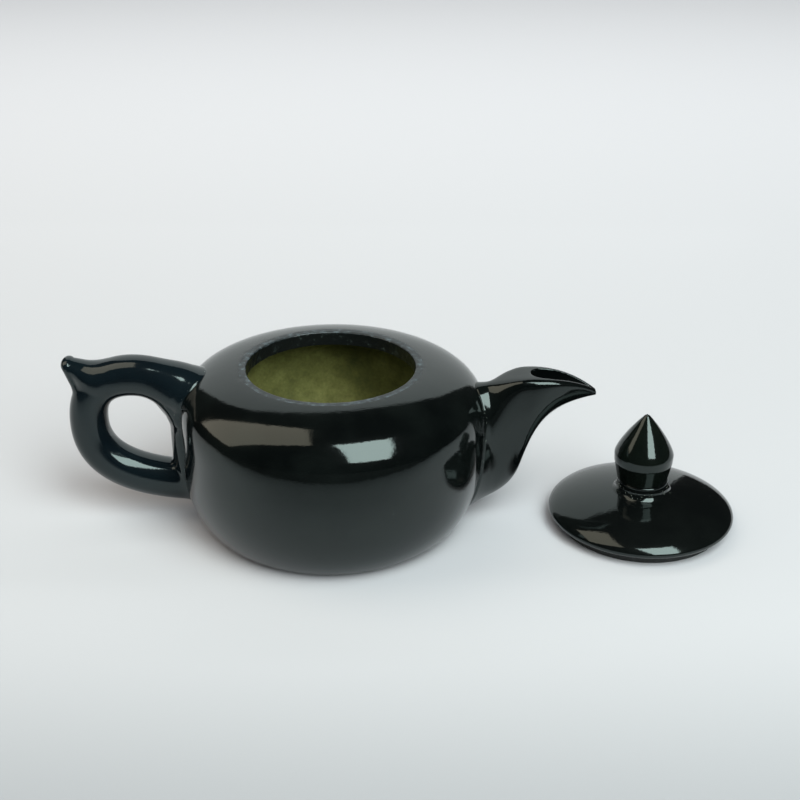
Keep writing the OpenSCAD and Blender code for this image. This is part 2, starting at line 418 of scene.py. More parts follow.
def turnedTree():
    tree, given = startTree("turnedForm", {
        "Profile": "Object", "Segments": "Int", "Unevenness": "Float", "Unevenness Size": "Float",
        "Seed": "Float", **{f"Finish {number}": "Material" for number in range(4)}})
    profile = addNode(tree, "GeometryNodeObjectInfo", inputs={"Object": given["Profile"]}).outputs["Geometry"]
    count = addNode(tree, "GeometryNodeAttributeDomainSize", inputs={0: profile}).outputs["Point Count"]
    columns = addNode(tree, "ShaderNodeMath", {"operation": "ADD"}, {0: given["Segments"], 1: 1.0})
    grid = addNode(tree, "GeometryNodeMeshGrid", inputs={"Vertices X": columns, "Vertices Y": count})
    index = addNode(tree, "GeometryNodeInputIndex")
    row = addNode(tree, "ShaderNodeMath", {"operation": "MODULO"}, {0: index, 1: count})
    column = addNode(tree, "ShaderNodeMath", {"operation": "DIVIDE"}, {0: index, 1: count})
    column = addNode(tree, "ShaderNodeMath", {"operation": "FLOOR"}, {0: column})
    position = addNode(tree, "GeometryNodeInputPosition")
    sample = addNode(tree, "GeometryNodeSampleIndex", {"data_type": "FLOAT_VECTOR", "domain": "POINT"}, {
        "Geometry": profile, "Value": position, "Index": row})
    parts = addNode(tree, "ShaderNodeSeparateXYZ", inputs={0: sample}).outputs
    turn = addNode(tree, "ShaderNodeMath", {"operation": "DIVIDE"}, {0: column, 1: given["Segments"]})
    angle = addNode(tree, "ShaderNodeMath", {"operation": "MULTIPLY"}, {0: turn, 1: 2 * math.pi})
    waves = [addNode(tree, "ShaderNodeMath", {"operation": kind}, {0: angle}) for kind in ("COSINE", "SINE")]
    x, y = [addNode(tree, "ShaderNodeMath", {"operation": "MULTIPLY"}, {0: parts[0], 1: w}) for w in waves]
    spun = addNode(tree, "ShaderNodeCombineXYZ", inputs={0: x, 1: y, 2: parts[2]})
    placed = addNode(tree, "GeometryNodeSetPosition", inputs={
        "Geometry": grid, "Position": spun})
    # the finish of each band is stored on the profile's edges and passed on to the faces
    bandRows = addNode(tree, "ShaderNodeMath", {"operation": "SUBTRACT"}, {0: count, 1: 1.0})
    band = addNode(tree, "ShaderNodeMath", {"operation": "MODULO"}, {0: index, 1: bandRows})
    stored = addNode(tree, "GeometryNodeInputNamedAttribute", {"data_type": "INT"}, {"Name": "finish"})
    finish = addNode(tree, "GeometryNodeSampleIndex", {"data_type": "INT", "domain": "EDGE"}, {
        "Geometry": profile, "Value": stored, "Index": band})
    marked = addNode(tree, "GeometryNodeStoreNamedAttribute", {"data_type": "INT", "domain": "FACE"}, {
        "Geometry": placed, "Name": "finish", "Value": finish})
    joined = addNode(tree, "GeometryNodeMergeByDistance", inputs={
        "Geometry": marked, "Distance": 0.002 * mm})
    # hand work leaves the form a little uneven
    seedPlace = addNode(tree, "ShaderNodeCombineXYZ", inputs={2: given["Seed"]})
    shifted = addNode(tree, "ShaderNodeVectorMath", {"operation": "ADD"}, {0: position, 1: seedPlace})
    scale = addNode(tree, "ShaderNodeMath", {"operation": "DIVIDE"}, {
        0: 1.0, 1: given["Unevenness Size"]})
    lumps = addNode(tree, "ShaderNodeTexNoise", inputs={
        "Vector": shifted, "Scale": scale, "Detail": 1.0})
    centred = addNode(tree, "ShaderNodeMath", {"operation": "SUBTRACT"}, {0: lumps, 1: 0.5})
    amount = addNode(tree, "ShaderNodeMath", {"operation": "MULTIPLY"}, {
        0: centred, 1: given["Unevenness"]})
    flat = addNode(tree, "ShaderNodeVectorMath", {"operation": "MULTIPLY"}, {
        0: addNode(tree, "GeometryNodeInputNormal"), 1: (1, 1, 0)})
    push = addNode(tree, "ShaderNodeVectorMath", {"operation": "SCALE"}, {0: flat, "Scale": amount})
    uneven = addNode(tree, "GeometryNodeSetPosition", inputs={"Geometry": joined, "Offset": push})
    shape = addNode(tree, "GeometryNodeRealizeInstances", inputs={0: uneven})
    for number in range(4):
        same = addNode(tree, "FunctionNodeCompare", {"data_type": "INT", "operation": "EQUAL"}, {
            2: stored, 3: number})
        shape = addNode(tree, "GeometryNodeSetMaterial", inputs={
            "Geometry": shape, "Selection": same, "Material": given[f"Finish {number}"]})
    addNode(tree, "NodeGroupOutput", inputs={0: shape})
    return tree


turning = turnedTree()


def turnedPiece(name, path, finishes, centre=(0, 0), segments=256, unevenness=0.0, size=40 * mm, seed=0.0):
    # path is a list of (radius, height, finish) from the lowest point on the axis round to the top of the axis
    mesh = bpy.data.meshes.new(name + "Profile")
    mesh.from_pydata([(r, 0, z) for r, z, _ in path], [(i, i + 1) for i in range(len(path) - 1)], [])
    mesh.attributes.new("finish", "INT", "EDGE")
    mesh.attributes["finish"].data.foreach_set("value", [f for _, _, f in path[:-1]])
    profile = newObject(name + "Profile", mesh)
    values = {"Profile": profile, "Segments": segments, "Unevenness": unevenness, "Unevenness Size": size,
              "Seed": seed}
    for number in range(4):
        values[f"Finish {number}"] = finishes[min(number, len(finishes) - 1)]
    obj = runTree(name, turning, values)
    bpy.data.objects.remove(profile)
    obj.data.transform(Matrix.Translation((centre[0], centre[1], 0)))
    fixNormals(obj)
    return obj


def stretch(points, spacing, finish):
    # evenly spaced (radius, height, finish) along a run of points, without the last one
    points = np.asarray(points, float)
    lengths = np.concatenate([[0], np.cumsum(np.linalg.norm(np.diff(points, axis=0), axis=1))])
    count = max(1, round(lengths[-1] / spacing))
    steps = np.linspace(0, lengths[-1], count + 1)[:-1]
    return [(np.interp(s, lengths, points[:, 0]), np.interp(s, lengths, points[:, 1]), finish) for s in steps]


# the pot's body

pot = {"bellyHeight": 36 * mm, "footRadius": 39 * mm, "wall": 5 * mm, "floor": 6 * mm, "mouthRadius": 29.7 * mm,
       "throat": 5.1 * mm, "heelPower": 2 / 2.1, "shoulderPower": 2 / 3.5, "shoulderReach": 1.05,
       "bevel": 0.35 * mm, "segments": 360, "unevenness": 0.5 * mm, "flatDepth": 3.0 * mm,
       "flatHeight": 13 * mm, "flatAngle": 0.5}
wear = {"gritSize": 0.9 * mm, "wallGrit": 0.08 * mm, "seatGrit": 0.1 * mm, "chipSize": 3.2 * mm, "chipFrom": 0.25,
        "edgeChip": 0.35 * mm, "edgeWidth": 0.6 * mm, "lipChip": 0.7 * mm, "lipWidth": 0.7 * mm,
        "gougeSize": 1.5 * mm, "gougeDepth": 0.28 * mm}


def heel(radius, foot, low, high, steps=80):
    a = np.linspace(0, math.pi / 2, steps)
    return np.stack([foot + (radius - foot) * np.sin(a) ** pot["heelPower"],
                     low + (high - low) * (1 - np.cos(a) ** pot["heelPower"])], 1)


def shoulder(radius, low, high, steps=80):
    end = math.asin((1 / pot["shoulderReach"]) ** (1 / pot["shoulderPower"]))
    a = np.linspace(0, end, steps)
    return np.stack([radius * np.cos(a) ** pot["shoulderPower"],
                     low + (high - low) * pot["shoulderReach"] * np.sin(a) ** pot["shoulderPower"]], 1)


def outsideCurve(inset=0.0):
    lower = heel(potRadius - inset, pot["footRadius"] - inset, inset, pot["bellyHeight"])
    upper = shoulder(potRadius - inset, pot["bellyHeight"], potHeight - inset)
    return np.vstack([lower, upper[1:]])


def potPath():
    throatLow = potHeight - pot["throat"]
    inner = potRadius - pot["wall"]
    outside = outsideCurve()
    seatEdge = outside[-1]
    mouthTop = np.array([pot["mouthRadius"], potHeight])
    bevel = pot["bevel"]
    insideDown = np.vstack([shoulder(inner, pot["bellyHeight"], throatLow)[::-1],
                            heel(inner, pot["footRadius"] - pot["wall"], pot["floor"], pot["bellyHeight"])[::-1]])
    path = stretch([(0, 0), outside[0]], 3 * mm, 1)
    path += stretch(outside, 0.85 * mm, 0)
    path += stretch([seatEdge, mouthTop + (bevel, 0), mouthTop - (0, bevel)], 0.42 * mm, 1)
    path += stretch([mouthTop - (0, bevel), (mouthTop[0], throatLow)], 0.42 * mm, 3)
    path += stretch(np.vstack([[(mouthTop[0], throatLow)], insideDown]), 1.3 * mm, 2)
    path += stretch([insideDown[-1], (0, pot["floor"])], 3 * mm, 2)
    return path + [(0, pot["floor"], 2)]


def wearMouth(obj):
    # grit and chips round the ground seat, and knife gouges down the throat
    co = vertexArray(obj.data)
    radius = np.hypot(co[:, 0], co[:, 1])
    angle = np.arctan2(co[:, 1], co[:, 0])
    seatOuter = outsideCurve()[-1][0]
    throatLow = potHeight - pot["throat"]
    near = np.nonzero((co[:, 2] > throatLow - 0.6 * mm) & (radius < seatOuter + 1.2 * mm))[0]
    for i in near:
        x, y, z = co[i]
        around = angle[i] * pot["mouthRadius"]
        onWall = radius[i] < pot["mouthRadius"] + 0.2 * mm
        grit = noise.noise(Vector((x, y, z)) / wear["gritSize"])
        chip = noise.noise(Vector((x, y, 0)) / wear["chipSize"]) - wear["chipFrom"]
        edge = math.exp(-((radius[i] - seatOuter) / wear["edgeWidth"]) ** 2)
        lip = math.exp(-((radius[i] - pot["mouthRadius"]) / wear["lipWidth"]) ** 2)
        if onWall and z < potHeight - 0.2 * mm:
            slash = noise.noise(Vector((around + 0.7 * z, z * 0.35, 3 * mm)) / wear["gougeSize"])
            deep = wear["gougeDepth"] * max(0.0, slash) + wear["wallGrit"] * grit
            co[i, 0] += math.cos(angle[i]) * deep
            co[i, 1] += math.sin(angle[i]) * deep
        if z > potHeight - 0.5 * mm:
            co[i, 2] -= abs(grit) * wear["seatGrit"]
            co[i, 2] -= max(0.0, chip) * (edge * wear["edgeChip"] + lip * wear["lipChip"])
    setVertices(obj.data, co)


def flattenBesideHandle(obj):
    # the wall inside the handle can't be reached by the rib, so it is left a little flatter
    co = vertexArray(obj.data)
    radius = np.hypot(co[:, 0], co[:, 1])
    angle = np.abs(np.abs(np.arctan2(co[:, 1], co[:, 0])) - math.pi)
    side = np.exp(-(angle / pot["flatAngle"]) ** 2)
    height = np.exp(-((co[:, 2] - pot["bellyHeight"]) / pot["flatHeight"]) ** 2)
    outer = radius > np.interp(co[:, 2], outsideCurve()[:, 1], outsideCurve()[:, 0]) - 1.5 * mm
    shrink = 1 - outer * side * height * pot["flatDepth"] / np.maximum(radius, 10 * mm)
    co[:, 0] *= shrink
    co[:, 1] *= shrink
    setVertices(obj.data, co)


def trimRoot(obj, inset=1.6 * mm, voxel=0.8 * mm):
    # takes away what lies inside the pot's wall, up to just under its outer skin
    curve = outsideCurve(inset)
    low, high = curve[0][1], curve[-1][1]
    path = [(0, low, 0)] + stretch(curve, 1.5 * mm, 0) + [(curve[-1][0], high, 0), (0, high, 0)]
    core = turnedPiece("core", path, [potBlack], segments=160)
    remesh(core, voxel)
    cutAway(obj, core)


strainer = {"holeRadius": 1.6 * mm, "ringRadius": 4.8 * mm, "ringHoles": 6, "height": 27 * mm,
            "holeSides": 24, "from": 38 * mm, "to": 60 * mm}


def drillStrainer(obj):
    # one hole in the middle and a ring round it, straight through the wall behind the spout
    reach, radius = strainer["ringRadius"], strainer["holeRadius"]
    turns = [2 * math.pi * k / strainer["ringHoles"] for k in range(strainer["ringHoles"])]
    spots = [(0, 0)] + [(reach * math.sin(a), reach * math.cos(a)) for a in turns]
    a = fullTurn(strainer["holeSides"])
    drills = []
    for y, z in spots:
        ring = np.stack([np.zeros(len(a)), y + radius * np.cos(a),
                         strainer["height"] + z + radius * np.sin(a)], 1)
        drills.append(loft("drill", np.stack([ring + (x, 0, 0) for x in (strainer["from"], strainer["to"])])))
    joinInto(drills[0], drills[1:])
    cutAway(obj, drills[0])


potPiece = turnedPiece("potBody", potPath(), [potBlack, cutClay, oliveInside, throatCut],
                       segments=pot["segments"], unevenness=pot["unevenness"], size=38 * mm, seed=0.4)
flattenBesideHandle(potPiece)
wearMouth(potPiece)
drillStrainer(potPiece)
smoothShade(potPiece, 50)
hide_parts("pot_body")
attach(potPiece, "pot")
print("pot body turned")


def outsideDistance(p):
    # how far points stand off the pot's outer skin, negative inside
    flat = np.stack([np.hypot(p[:, 0], p[:, 1]), p[:, 2]], 1)
    distance, _, side = nearestOnPath(flat, outsideCurve())
    return distance * side


def flareRoot(obj, reach):
    # the clay was smeared on to the pot, so each root widens where it meets the wall
    mesh = obj.data
    co = vertexArray(mesh)
    normal = np.array([v.normal for v in mesh.vertices])
    gap = np.clip(outsideDistance(co), 0, reach)
    setVertices(mesh, co + normal * (reach / 4 * (1 - gap / reach) ** 2)[:, None])


# lofted forms

def sectionRings(low, high, halfWidth, power, sides):
    # one rounded section per row, between a low and a high point in the XZ plane
    c, s = squircle(fullTurn(sides), power)
    mid, arm = (low + high) / 2, (high - low) / 2
    return np.stack([mid[:, None, 0] + arm[:, None, 0] * s, halfWidth[:, None] * c,
                     mid[:, None, 1] + arm[:, None, 1] * s], -1)


def remesh(obj, voxel):
    cubes = obj.modifiers.new("cubes", "REMESH")
    cubes.mode = "VOXEL"
    cubes.voxel_size = voxel
    cubes.use_smooth_shade = True
    applyModifiers(obj)


def relax(obj, rounds):
    ease = obj.modifiers.new("ease", "SMOOTH")
    ease.iterations = rounds
    ease.factor = 0.5
    applyModifiers(obj)


# the spout

spout = {"backLow": [(46, 48.5), (56, 53), (62, 57.4), (71, 57.3)],
         "backHigh": [(71, 57.3), (79, 57.2), (86.5, 55.6), (93.4, 50.8)],
         "throatLow": [(46, 4), (58, 8.4), (64.5, 11.5), (67.2, 20)],
         "throatHigh": [(67.2, 20), (71, 33), (72, 44.6), (93.6, 49)],
         "rootHalf": 11 * mm, "neckHalf": 7.6 * mm, "tipHalf": 1.2 * mm, "taper": 1.7, "wall": 3.0 * mm,
         "channelEnd": 0.9, "slotFrom": 70.2 * mm, "slotTo": 92 * mm, "slotHalf": 3.9 * mm,
         "slotRound": 0.2, "slotPower": 3.5, "slotFloor": 44 * mm, "slotTop": 68 * mm, "keelPower": 1.95,
         "crestRootPower": 2.2, "crestGain": 5.3, "crestFrom": 0.18, "crestRun": 0.24, "crestShare": 0.24,
         "channelPower": 2.2, "channelIn": 0.8 * mm, "voxel": 0.26 * mm, "flare": 6.5 * mm}


def spoutOutline(t):
    back = twoCubics(spout["backLow"], spout["backHigh"], t) * mm
    throat = twoCubics(spout["throatLow"], spout["throatHigh"], t) * mm
    late = np.clip(2 * t - 1, 0, 1)
    early = np.clip(1 - 2 * t, 0, 1)
    half = np.where(t < 0.5, spout["neckHalf"] + (spout["rootHalf"] - spout["neckHalf"]) * early ** 2,
                    spout["neckHalf"] - (spout["neckHalf"] - spout["tipHalf"]) * late ** spout["taper"])
    return throat, back, half


def beakRings(t, sides):
    # a flat crest with tight edges over sides that draw in to a rounded keel
    throat, back, half = spoutOutline(t)
    a = fullTurn(sides) + math.pi / sides
    flat = np.clip((t - spout["crestFrom"]) / spout["crestRun"], 0, 1)[:, None]
    crest = spout["crestRootPower"] + spout["crestGain"] * flat ** 1.5
    c, s = squircle(a, np.where(np.sin(a) > 0, crest, spout["keelPower"]))
    share = 0.5 + spout["crestShare"] * flat
    middle = throat * (1 - share) + back * share
    arm = np.where((s > 0)[..., None], (back - middle)[:, None], (middle - throat)[:, None])
    across = half[:, None] * c
    return np.stack([middle[:, None, 0] + arm[..., 0] * s, across, middle[:, None, 1] + arm[..., 1] * s], -1)


def slotCutter():
    # a teardrop trough, wide towards the pot and closing to a point at the lip
    x = np.linspace(spout["slotFrom"], spout["slotTo"], 60)
    share = (x - x[0]) / (x[-1] - x[0])
    early = np.clip(share / spout["slotRound"], 0, 1)
    late = np.clip((share - spout["slotRound"]) / (1 - spout["slotRound"]), 0, 1)
    opening = np.minimum(np.sqrt(early * (2 - early)), 1.12 * (1 - late ** 1.5))
    half = spout["slotHalf"] * opening + 0.02 * mm
    throat = spoutOutline(np.linspace(0.5, 1, 200))[0]
    low = np.interp(x, throat[:, 0], throat[:, 1]) + spout["wall"] * (0.8 + 0.3 * share)
    low = np.maximum(low, spout["slotFloor"])
    sides, top = 40, spout["slotTop"]
    c, s = squircle(fullTurn(sides) + math.pi / sides, spout["slotPower"])
    rings = np.stack([np.repeat(x[:, None], sides, 1), half[:, None] * c,
                      (top + low[:, None]) / 2 + (top - low[:, None]) / 2 * s], -1)
    return loft("slot", rings)


def makeSpout():
    obj = loft("spout", beakRings(np.linspace(0, 1, 140), 120))
    remesh(obj, spout["voxel"])
    t = np.linspace(0, spout["channelEnd"], 90)
    throat, back, half = spoutOutline(t)
    way = (back - throat) / np.linalg.norm(back - throat, axis=1)[:, None]
    wall = spout["wall"]
    width = np.maximum(0.7 * mm, half - wall - spout["channelIn"])
    rings = sectionRings(throat + way * wall, back - way * wall, width, spout["channelPower"], 64)
    channel = loft("channel", rings)
    remesh(channel, spout["voxel"])
    cutAway(obj, channel)
    cutAway(obj, slotCutter())
    trimRoot(obj)
    remesh(obj, spout["voxel"])
    relax(obj, 5)
    flareRoot(obj, spout["flare"])
    return obj


spoutPiece = makeSpout()
smoothShade(spoutPiece, 60, potBlack)
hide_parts("spout")
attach(spoutPiece, "pot")
print("spout made:", len(spoutPiece.data.polygons), "faces")


# the handle: loop, strap and thumb spur melt into each other

handle = {"upper": [(-46, 45.5), (-59, 58.5), (-86.8, 62), (-86.5, 38)],
          "lower": [(-86.5, 38), (-86.6, 22.8), (-74, 14.6), (-47, 14)],
          "halfDepth": 7.4 * mm, "halfThick": 7.1 * mm, "thinnest": 6.7 * mm, "sectionPower": 2.25,
          "spurRoot": (-82.2, 55.0, 5.7), "spurTip": (-91.9, 59.9, 2.5), "spurHeel": (-89.0, 50.4, 2.0),
          "spurWide": (0.55, 0.8), "spurWideFrom": (-92, -80), "spurDrop": 3.5, "spurMelt": 1.2 * mm,
          "spurMeltTop": 3.5 * mm, "spurMeltFrom": 50 * mm, "spurMeltRun": 6 * mm,
          "strapFrom": (-50.6, 16), "strapTo": (-50.6, 48), "strapRadius": 6.9 * mm,
          "gusset": [(-52, 49, 6.5), (-62, 52, 6.2), (-52, 38, 6.5)],
          "strapMelt": 1.5 * mm, "strapMeltTop": 11 * mm, "strapMeltFrom": 26 * mm,
          "strapMeltRun": 14 * mm, "voxel": 0.42 * mm, "flare": 4 * mm}


def loopMiddle(t):
    return twoCubics(handle["upper"], handle["lower"], t) * mm


def loopThickness(t):
    return handle["halfThick"] - (handle["halfThick"] - handle["thinnest"]) * np.sin(math.pi * t) ** 6


def loopRings(count, sides):
    t = np.linspace(0, 1, count)
    middle = loopMiddle(t)
    ahead = np.gradient(middle, axis=0)
    ahead /= np.linalg.norm(ahead, axis=1)[:, None]
    out = np.stack([ahead[:, 1], -ahead[:, 0]], 1) * loopThickness(t)[:, None]
    depth = np.full(count, handle["halfDepth"])
    return sectionRings(middle - out, middle + out, depth, handle["sectionPower"], sides)


def loopDistance(p):
    steps = 500
    offset, place, _ = nearestOnPath(p[:, [0, 2]], loopMiddle(np.linspace(0, 1, steps)))
    thick = loopThickness(place / (steps - 1))
    power = handle["sectionPower"]
    level = ((offset / thick) ** power + (np.abs(p[:, 1]) / handle["halfDepth"]) ** power) ** (1 / power)
    return (level - 1) * thick


def coneDistance(p, a, ra, b, rb):
    # a rounded taper between two balls
    a, b = np.array([a[0], 0, a[1]]) * mm, np.array([b[0], 0, b[1]]) * mm
    axis = b - a
    length = np.linalg.norm(axis)
    axis /= length
    slope = (ra - rb) / length
    rel = p - a
    z = rel @ axis
    x = np.linalg.norm(rel - z[:, None] * axis, axis=1)
    k = np.clip(z + x * slope / math.sqrt(1 - slope ** 2), 0, length)
    near = rel - k[:, None] * axis
    return np.linalg.norm(near, axis=1) - (ra + (rb - ra) * k / length)


def melt(a, b, size):
    # the lower of two distances, with the crease between them filled over the given size
    h = np.clip(0.5 + 0.5 * (b - a) / size, 0, 1)
    return b * (1 - h) + a * h - size * h * (1 - h)


def handleDistance(p):
    spurX, spurZ, spurR = handle["spurRoot"]
    tip, heelEnd = np.array(handle["spurTip"]), np.array(handle["spurHeel"])
    narrowed = p.copy()
    narrowed[:, 1] *= np.interp(p[:, 0] / mm, handle["spurWideFrom"], handle["spurWide"])
    spur = None
    for share in np.linspace(0, 1, 6):
        end = tip * (1 - share) + heelEnd * share
        start = (spurX, spurZ - handle["spurDrop"] * share)
        cone = coneDistance(narrowed, start, spurR * mm, end[:2], end[2] * mm)
        spur = cone if spur is None else melt(spur, cone, 0.8 * mm)
    loop = loopDistance(p)
    strap = coneDistance(p, handle["strapFrom"], handle["strapRadius"], handle["strapTo"], handle["strapRadius"])
    high = np.clip((p[:, 2] - handle["strapMeltFrom"]) / handle["strapMeltRun"], 0, 1)
    strapMelt = handle["strapMelt"] + (handle["strapMeltTop"] - handle["strapMelt"]) * high
    top = np.clip((p[:, 2] - handle["spurMeltFrom"]) / handle["spurMeltRun"], 0, 1)
    spurMelt = handle["spurMelt"] + (handle["spurMeltTop"] - handle["spurMelt"]) * top
    return melt(melt(loop, spur, spurMelt), strap, strapMelt)


def settleOn(obj, distance, rounds=4):
    # moves every point on to the surface where distance is zero
    co = vertexArray(obj.data)
    tiny = 0.02 * mm
    for _ in range(rounds):
        here = distance(co)
        slope = np.stack([(distance(co + np.eye(3)[k] * tiny) - here) / tiny for k in range(3)], 1)
        size = np.maximum(np.einsum("ij,ij->i", slope, slope), 0.05)
        move = slope * (here / size)[:, None]
        length = np.linalg.norm(move, axis=1)[:, None]
        co -= move * np.minimum(1, 0.5 * mm / np.maximum(length, 1e-9))
    setVertices(obj.data, co)


def ballPoints(x, z, r, count=14):
    a = fullTurn(count)
    b = np.linspace(-math.pi / 2, math.pi / 2, count)
    return [(x * mm + r * mm * math.cos(v) * math.cos(u), r * mm * math.cos(v) * math.sin(u),
             z * mm + r * mm * math.sin(v)) for u in a for v in b]


def roughHull(name, balls):
    bm = bmesh.new()
    for ball in balls:
        for point in ballPoints(*ball):
            bm.verts.new(point)
    made = bmesh.ops.convex_hull(bm, input=bm.verts)
    loose = list({g for g in made["geom_interior"] + made["geom_unused"] if isinstance(g, bmesh.types.BMVert)})
    bmesh.ops.delete(bm, geom=loose, context="VERTS")
    bmesh.ops.recalc_face_normals(bm, faces=bm.faces)
    mesh = bpy.data.meshes.new(name)
    bm.to_mesh(mesh)
    bm.free()
    return newObject(name, mesh)


def makeHandle():
    obj = loft("handle", loopRings(120, 48))
    spur = roughHull("spur", [handle["spurRoot"], handle["spurTip"], handle["spurHeel"]])
    strapR = handle["strapRadius"] / mm
    strap = roughHull("strap", [(*handle["strapFrom"], strapR), (*handle["strapTo"], strapR)])
    gusset = roughHull("gusset", handle["gusset"])
    joinInto(obj, [spur, strap, gusset])
    remesh(obj, handle["voxel"])
    relax(obj, 3)
    settleOn(obj, handleDistance)
    trimRoot(obj)
    fixNormals(obj)
    flareRoot(obj, handle["flare"])
    return obj


handlePiece = makeHandle()
smoothShade(handlePiece, 60, handleBlack)
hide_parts("handle_loop", "handle_strap", "thumb_spur")
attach(handlePiece, "pot")
print("handle made:", len(handlePiece.data.polygons), "faces")


# the lid

lid = {"domePower": 1.2, "rimEdge": 1.3 * mm, "rimThick": 1.5 * mm, "thickness": 4 * mm,
       "flangeWall": 4.8 * mm, "flangeBevel": 0.4 * mm, "knobShift": 0.4 * mm,
       "footRadius": 9.05 * mm, "footReach": 12.6 * mm, "footTop": 16.3 * mm}
lidAt = (lidCentre.x, lidCentre.y)
rimRadius = (domeHigh.x - domeLow.x) / 2
flangeRadius = (flangeHigh.x - flangeLow.x) / 2
flangeTop = flangeHigh.z
rimHeight = flangeTop + lid["rimThick"]
domeTop = domeHigh.z
knob = {"foot": 8.9 * mm, "ridgeIn": 0.25 * mm, "ridgeRise": 6.6 * mm, "wideRise": 10.1 * mm, "point": 0.4 * mm,
        "roundness": 1.26, "budPower": 0.95}


def domeCurve(radius, low, rise, steps=90):
    a = np.linspace(0, math.pi / 2, steps)
    return np.stack([radius * np.cos(a) ** lid["domePower"], low + rise * np.sin(a) ** lid["domePower"]], 1)


def domePath():
    innerRadius = flangeRadius - lid["flangeWall"]
    top = domeCurve(rimRadius, rimHeight, domeTop - rimHeight)
    innerTop = domeTop - lid["thickness"]
    inside = domeCurve(innerRadius, flangeTop + 0.5 * mm, innerTop - flangeTop - 0.5 * mm)[::-1]
    a = np.linspace(0, math.pi / 2, 12)
    edge = np.stack([rimRadius - lid["rimEdge"] * (1 - np.sin(a)), rimHeight - lid["rimThick"] * np.cos(a)], 1)
    path = stretch(np.vstack([inside, [(innerRadius, flangeTop)]]), 1.2 * mm, 1)
    path += stretch([(innerRadius, flangeTop), edge[0]], 1.2 * mm, 1)
    path += stretch(edge, 0.3 * mm, 0) + stretch(top, 0.6 * mm, 0)
    return path + [(0, domeTop, 0)]


def flangePath():
    inner, bevel = flangeRadius - lid["flangeWall"], lid["flangeBevel"]
    corners = [(inner, flangeTop), (inner, bevel), (inner + bevel, 0), (flangeRadius - bevel, 0),
               (flangeRadius, bevel), (flangeRadius, flangeTop), (inner, flangeTop)]
    path = stretch(corners, 0.4 * mm, 0)
    return path + [(inner, flangeTop, 0)]


def footCurve(steps=30):
    # the hollow curve smeared between the knob's foot and the dome, from the dome upwards
    a = np.linspace(math.pi / 2, 0, steps)
    curve = domeCurve(rimRadius, rimHeight, domeTop - rimHeight)[::-1]
    edge = np.interp(lid["footReach"], curve[:, 0], curve[:, 1]) - 0.1 * mm
    rise = lid["footTop"] - edge
    radius = lid["footReach"] - (lid["footReach"] - lid["footRadius"]) * np.cos(a) ** 0.8
    return np.stack([radius, lid["footTop"] - rise * np.sin(a)], 1)


def collarPath():
    low, top, bead, foot = domeTop - 1.7 * mm, collarHigh.z, 0.3 * mm, lid["footRadius"]
    points = np.vstack([[(0, low)], footCurve(), [(foot, top - bead), (foot - bead, top), (0, top)]])
    return stretch(points, 0.35 * mm, 0) + [(0, top, 0)]


def knobPath():
    base, tip = knobLow.z, knobHigh.z
    wide = (knobHigh.x - knobLow.x) / 2
    foot, ridge, point = knob["foot"], wide - knob["ridgeIn"], knob["point"]
    ridgeAt, wideAt = base + knob["ridgeRise"], base + knob["wideRise"]
    up = np.linspace(0, 1, 80)
    bud = np.stack([point + (wide - point) * (1 - up ** knob["roundness"]) ** knob["budPower"],
                    wideAt + (tip - wideAt) * up], 1)
    a = np.linspace(0, math.pi / 2, 20)
    swell = np.stack([ridge + (wide - ridge) * np.sin(a), ridgeAt + (wideAt - ridgeAt) * (1 - np.cos(a))], 1)
    a = np.linspace(0, math.pi / 2, 8)
    cap = np.stack([point * np.cos(a), tip - 0.3 * mm + 0.3 * mm * np.sin(a)], 1)
    bud = bud[bud[:, 1] < tip - 0.5 * mm]
    path = stretch([(0, base), (foot - 0.4 * mm, base), (foot, base + 0.3 * mm), swell[0]], 0.35 * mm, 0)
    path += stretch(swell, 0.3 * mm, 0) + stretch(np.vstack([bud, cap]), 0.3 * mm, 0)
    return path + [(0, tip, 0)]


domePiece = turnedPiece("lidDome", domePath(), [lidBlack, flangeClay], lidAt, 256, 0.25 * mm, 26 * mm, 0.1)
flangePiece = turnedPiece("lidFlange", flangePath(), [flangeClay], lidAt, 256, 0.0, 20 * mm, 0.2)
collarPiece = turnedPiece("knobCollar", collarPath(), [lidBlack], lidAt, 160, 0.25 * mm, 9 * mm, 0.3)
knobAt = (lidAt[0] - lid["knobShift"], lidAt[1])
knobPiece = turnedPiece("lidKnob", knobPath(), [knobBlack], knobAt, 192, 0.25 * mm, 14 * mm, 0.5)
for piece, node, slot in ((domePiece, "lid_dome", "lid_black"), (flangePiece, "lid_flange", "ground_clay"),
                          (collarPiece, "knob_collar", "lid_black"), (knobPiece, "lid_knob", "knob_black")):
    smoothShade(piece, 45)
    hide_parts(node)
    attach(piece, "lid")
print("lid made")


# crumbs in the creases

def footPlaces(count, seed):
    # points round the crease under the knob, most of them high up
    pick = np.random.default_rng(seed)
    curve = footCurve()
    share = 1 - pick.uniform(0, 1, count) ** 2 * 0.6
    radius = np.interp(share, np.linspace(0, 1, len(curve)), curve[:, 0])
    height = np.interp(share, np.linspace(0, 1, len(curve)), curve[:, 1])
    a = pick.uniform(0, 2 * math.pi, count)
    return np.stack([lidAt[0] + radius * np.cos(a), lidAt[1] + radius * np.sin(a), height], 1)


def rootPlaces(obj, count, seed):
    # points of a root's skin close to the pot's wall
    co = vertexArray(obj.data)
    gap = outsideDistance(co)
    near = co[(gap > dryCrumb["gapFrom"]) & (gap < dryCrumb["gapTo"])]
    return near[np.random.default_rng(seed).choice(len(near), count, replace=False)]


scatterCrumbs("footCrumbs", footPlaces(130, 3), "lid", 5)
scatterCrumbs("spoutRootCrumbs", rootPlaces(spoutPiece, 60, 8), "pot", 6)
scatterCrumbs("handleRootCrumbs", rootPlaces(handlePiece, 50, 4), "pot", 9)
print("crumbs strewn")


# studio

